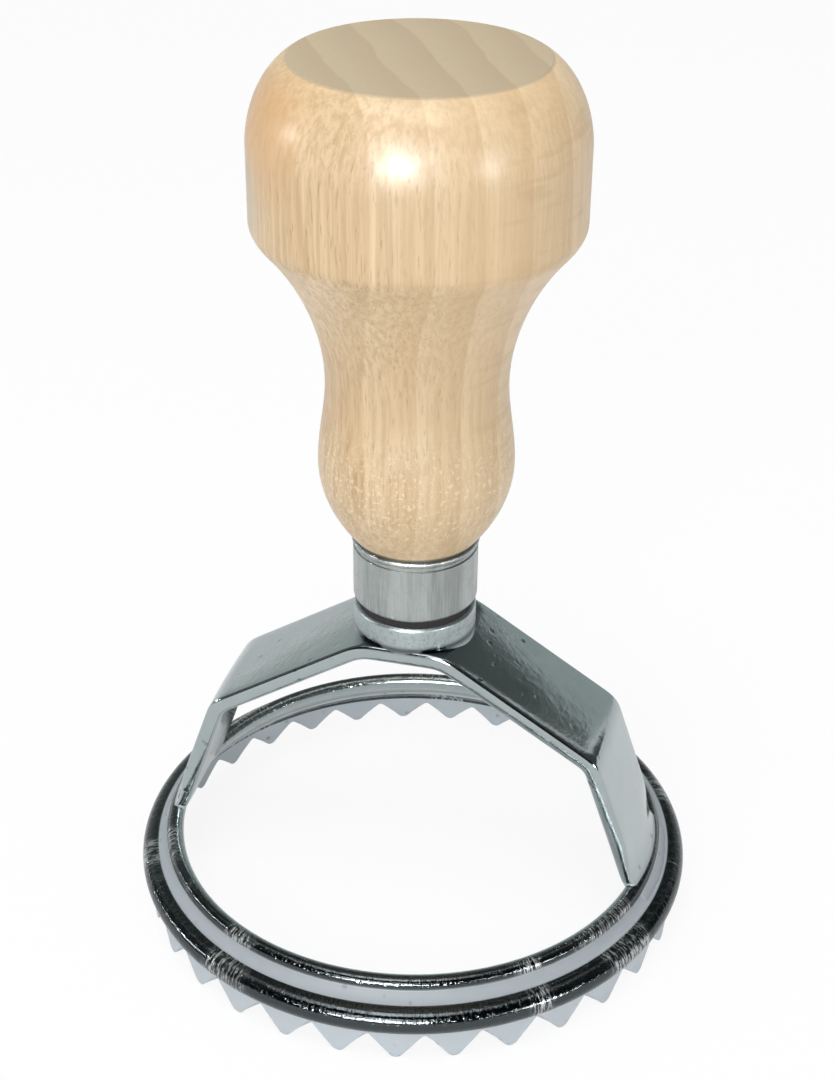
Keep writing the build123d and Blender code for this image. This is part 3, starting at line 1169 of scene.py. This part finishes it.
@dataclass
class Studio:
    """A white table in a white room, dark curtains for the metal, soft lamps and the photograph's camera."""

    azimuth: float = 14.39
    away: float = 217.8
    height: float = 184.9
    pitch: float = 30.77
    yaw: float = 0.06
    roll: float = 0.52
    focal: float = 1938.25
    image: tuple[int, int] = (835, 1080)
    cards: tuple[Card, ...] = (
        Card("front_curtain", (-78.0, 78.0), (3.0, 88.0), (0.012, 0.014, 0.014)),
        Card("left_curtain", (-128.0, -80.0), (3.0, 60.0), (0.10, 0.11, 0.11)),
        Card("right_curtain", (80.0, 128.0), (3.0, 60.0), (0.07, 0.08, 0.08)),
        Card("back_left_wall", (-182.0, -130.0), (2.0, 30.0), (0.52, 0.57, 0.55)),
        Card("back_right_wall", (130.0, 178.0), (2.0, 22.0), (0.50, 0.56, 0.55)),
        Card("back_left_dark", (-182.0, -130.0), (31.0, 75.0), (0.16, 0.18, 0.175)),
        Card("back_right_dark", (130.0, 178.0), (22.5, 75.0), (0.09, 0.11, 0.105)),
        Card("dark_ceiling", (100.0, 260.0), (76.0, 89.5), (0.06, 0.07, 0.07)),
    )
    lamps: tuple[Lamp, ...] = (
        Lamp("soft_top", -20.0, 72.0, 0.75, (0.40, 0.30), 2.3),
        Lamp("soft_front", -14.0, 30.0, 0.80, (0.26, 0.22), 1.5),
        Lamp("window_front", -12.0, 15.0, 1.3, (0.24, 0.20), 26.0, True),
        Lamp("window_right", 47.0, 9.0, 1.3, (0.12, 0.14), 5.0, True),
        Lamp("window_left", -95.0, 12.0, 1.3, (0.08, 0.10), 3.0, True),
    )
    table_half: float = 3.0

    def camera(self) -> None:
        """Create the scene's camera, which looks down at the axis from the photograph's place."""
        th, psi, rho = radians(self.pitch), radians(self.yaw), radians(self.roll)
        ahead = Vector((sin(psi) * cos(th), cos(psi) * cos(th), -sin(th)))
        side = Vector((cos(psi), -sin(psi), 0.0))
        up0 = side.cross(ahead)
        right = side * cos(rho) + up0 * sin(rho)
        up = side * -sin(rho) + up0 * cos(rho)
        basis = Matrix((right, up, -ahead)).transposed().to_4x4()
        basis.translation = Vector((0.0, -self.away, self.height)) * MM
        data = bpy.data.cameras.new("photo_camera")
        data.sensor_width = 36.0
        data.lens = self.focal * data.sensor_width / max(self.image)
        data.clip_start, data.clip_end = 0.01, 20.0
        camera = new_object("photo_camera", data)
        camera.matrix_world = Matrix.Rotation(radians(self.azimuth), 4, "Z") @ basis
        bpy.context.scene.camera = camera

    def room(self) -> None:
        """Light the world: white for the camera and for reflections, a pale room for the soft light."""
        world = bpy.data.worlds.new("pale_room")
        bpy.context.scene.world = world
        world.use_nodes = True
        g = Graph(world.node_tree)
        up = g.axes(g.add("ShaderNodeTexCoord", {}, {}, "Generated"))[2]
        shades = ((0.0, (0.46, 0.46, 0.46)), (0.47, (0.46, 0.47, 0.47)),
                  (0.60, (0.48, 0.49, 0.50)), (1.0, (0.82, 0.83, 0.85)))
        walls = g.add("ShaderNodeValToRGB", {"stops": shades}, {"Fac": up * 0.5 + 0.5}, "Color")
        g.finish_with(g.add("ShaderNodeBackground", {}, {
            "Color": g.blend(g.background_ray(1.0, 1.0), walls, (1.0, 1.0, 1.0)), "Strength": 1.0}))

    def table(self) -> None:
        """Lay the white floor, which shows the shadow and stays white for the camera."""
        mesh = bpy.data.meshes.new("white_table")
        far = self.table_half
        mesh.from_pydata([(-far, -far, 0), (far, -far, 0), (far, far, 0), (-far, far, 0)], [], [(0, 1, 2, 3)])
        table = new_object("white_table", mesh)
        material, g = new_material("white_card")
        card = g.add("ShaderNodeBsdfDiffuse", {}, {"Color": (0.86, 0.86, 0.86)})
        glow = g.add("ShaderNodeEmission", {}, {"Color": (1.0, 1.0, 1.0), "Strength": 1.0})
        g.finish_with(g.add("ShaderNodeMixShader", {}, {0: g.background_ray(0.88, 0.35), 1: card, 2: glow}))
        mesh.materials.append(material)

    def build(self) -> None:
        """Set camera, lamps, cards, room, table and the plain view transform."""
        self.camera()
        for thing in (*self.lamps, *self.cards):
            thing.hang(self.azimuth)
        self.room()
        self.table()
        bpy.context.scene.view_settings.view_transform = "Standard"


def main() -> None:
    """Build the pieces in order, then the studio, and report each."""
    logging.basicConfig(level=logging.INFO, format="%(name)s: %(message)s")
    paint = Paintbox()
    for maker in (Casting(), Ferrule(), Handle()):
        piece = maker.build(paint)
        log.info("%s: %d vertices", piece.name, len(piece.data.vertices))
    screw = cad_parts["handle_screw"]
    paint.dress(screw, Finish.ZINC)
    log.info("%s dressed", screw.name)
    Studio().build()


if __name__ == "__main__":
    main()
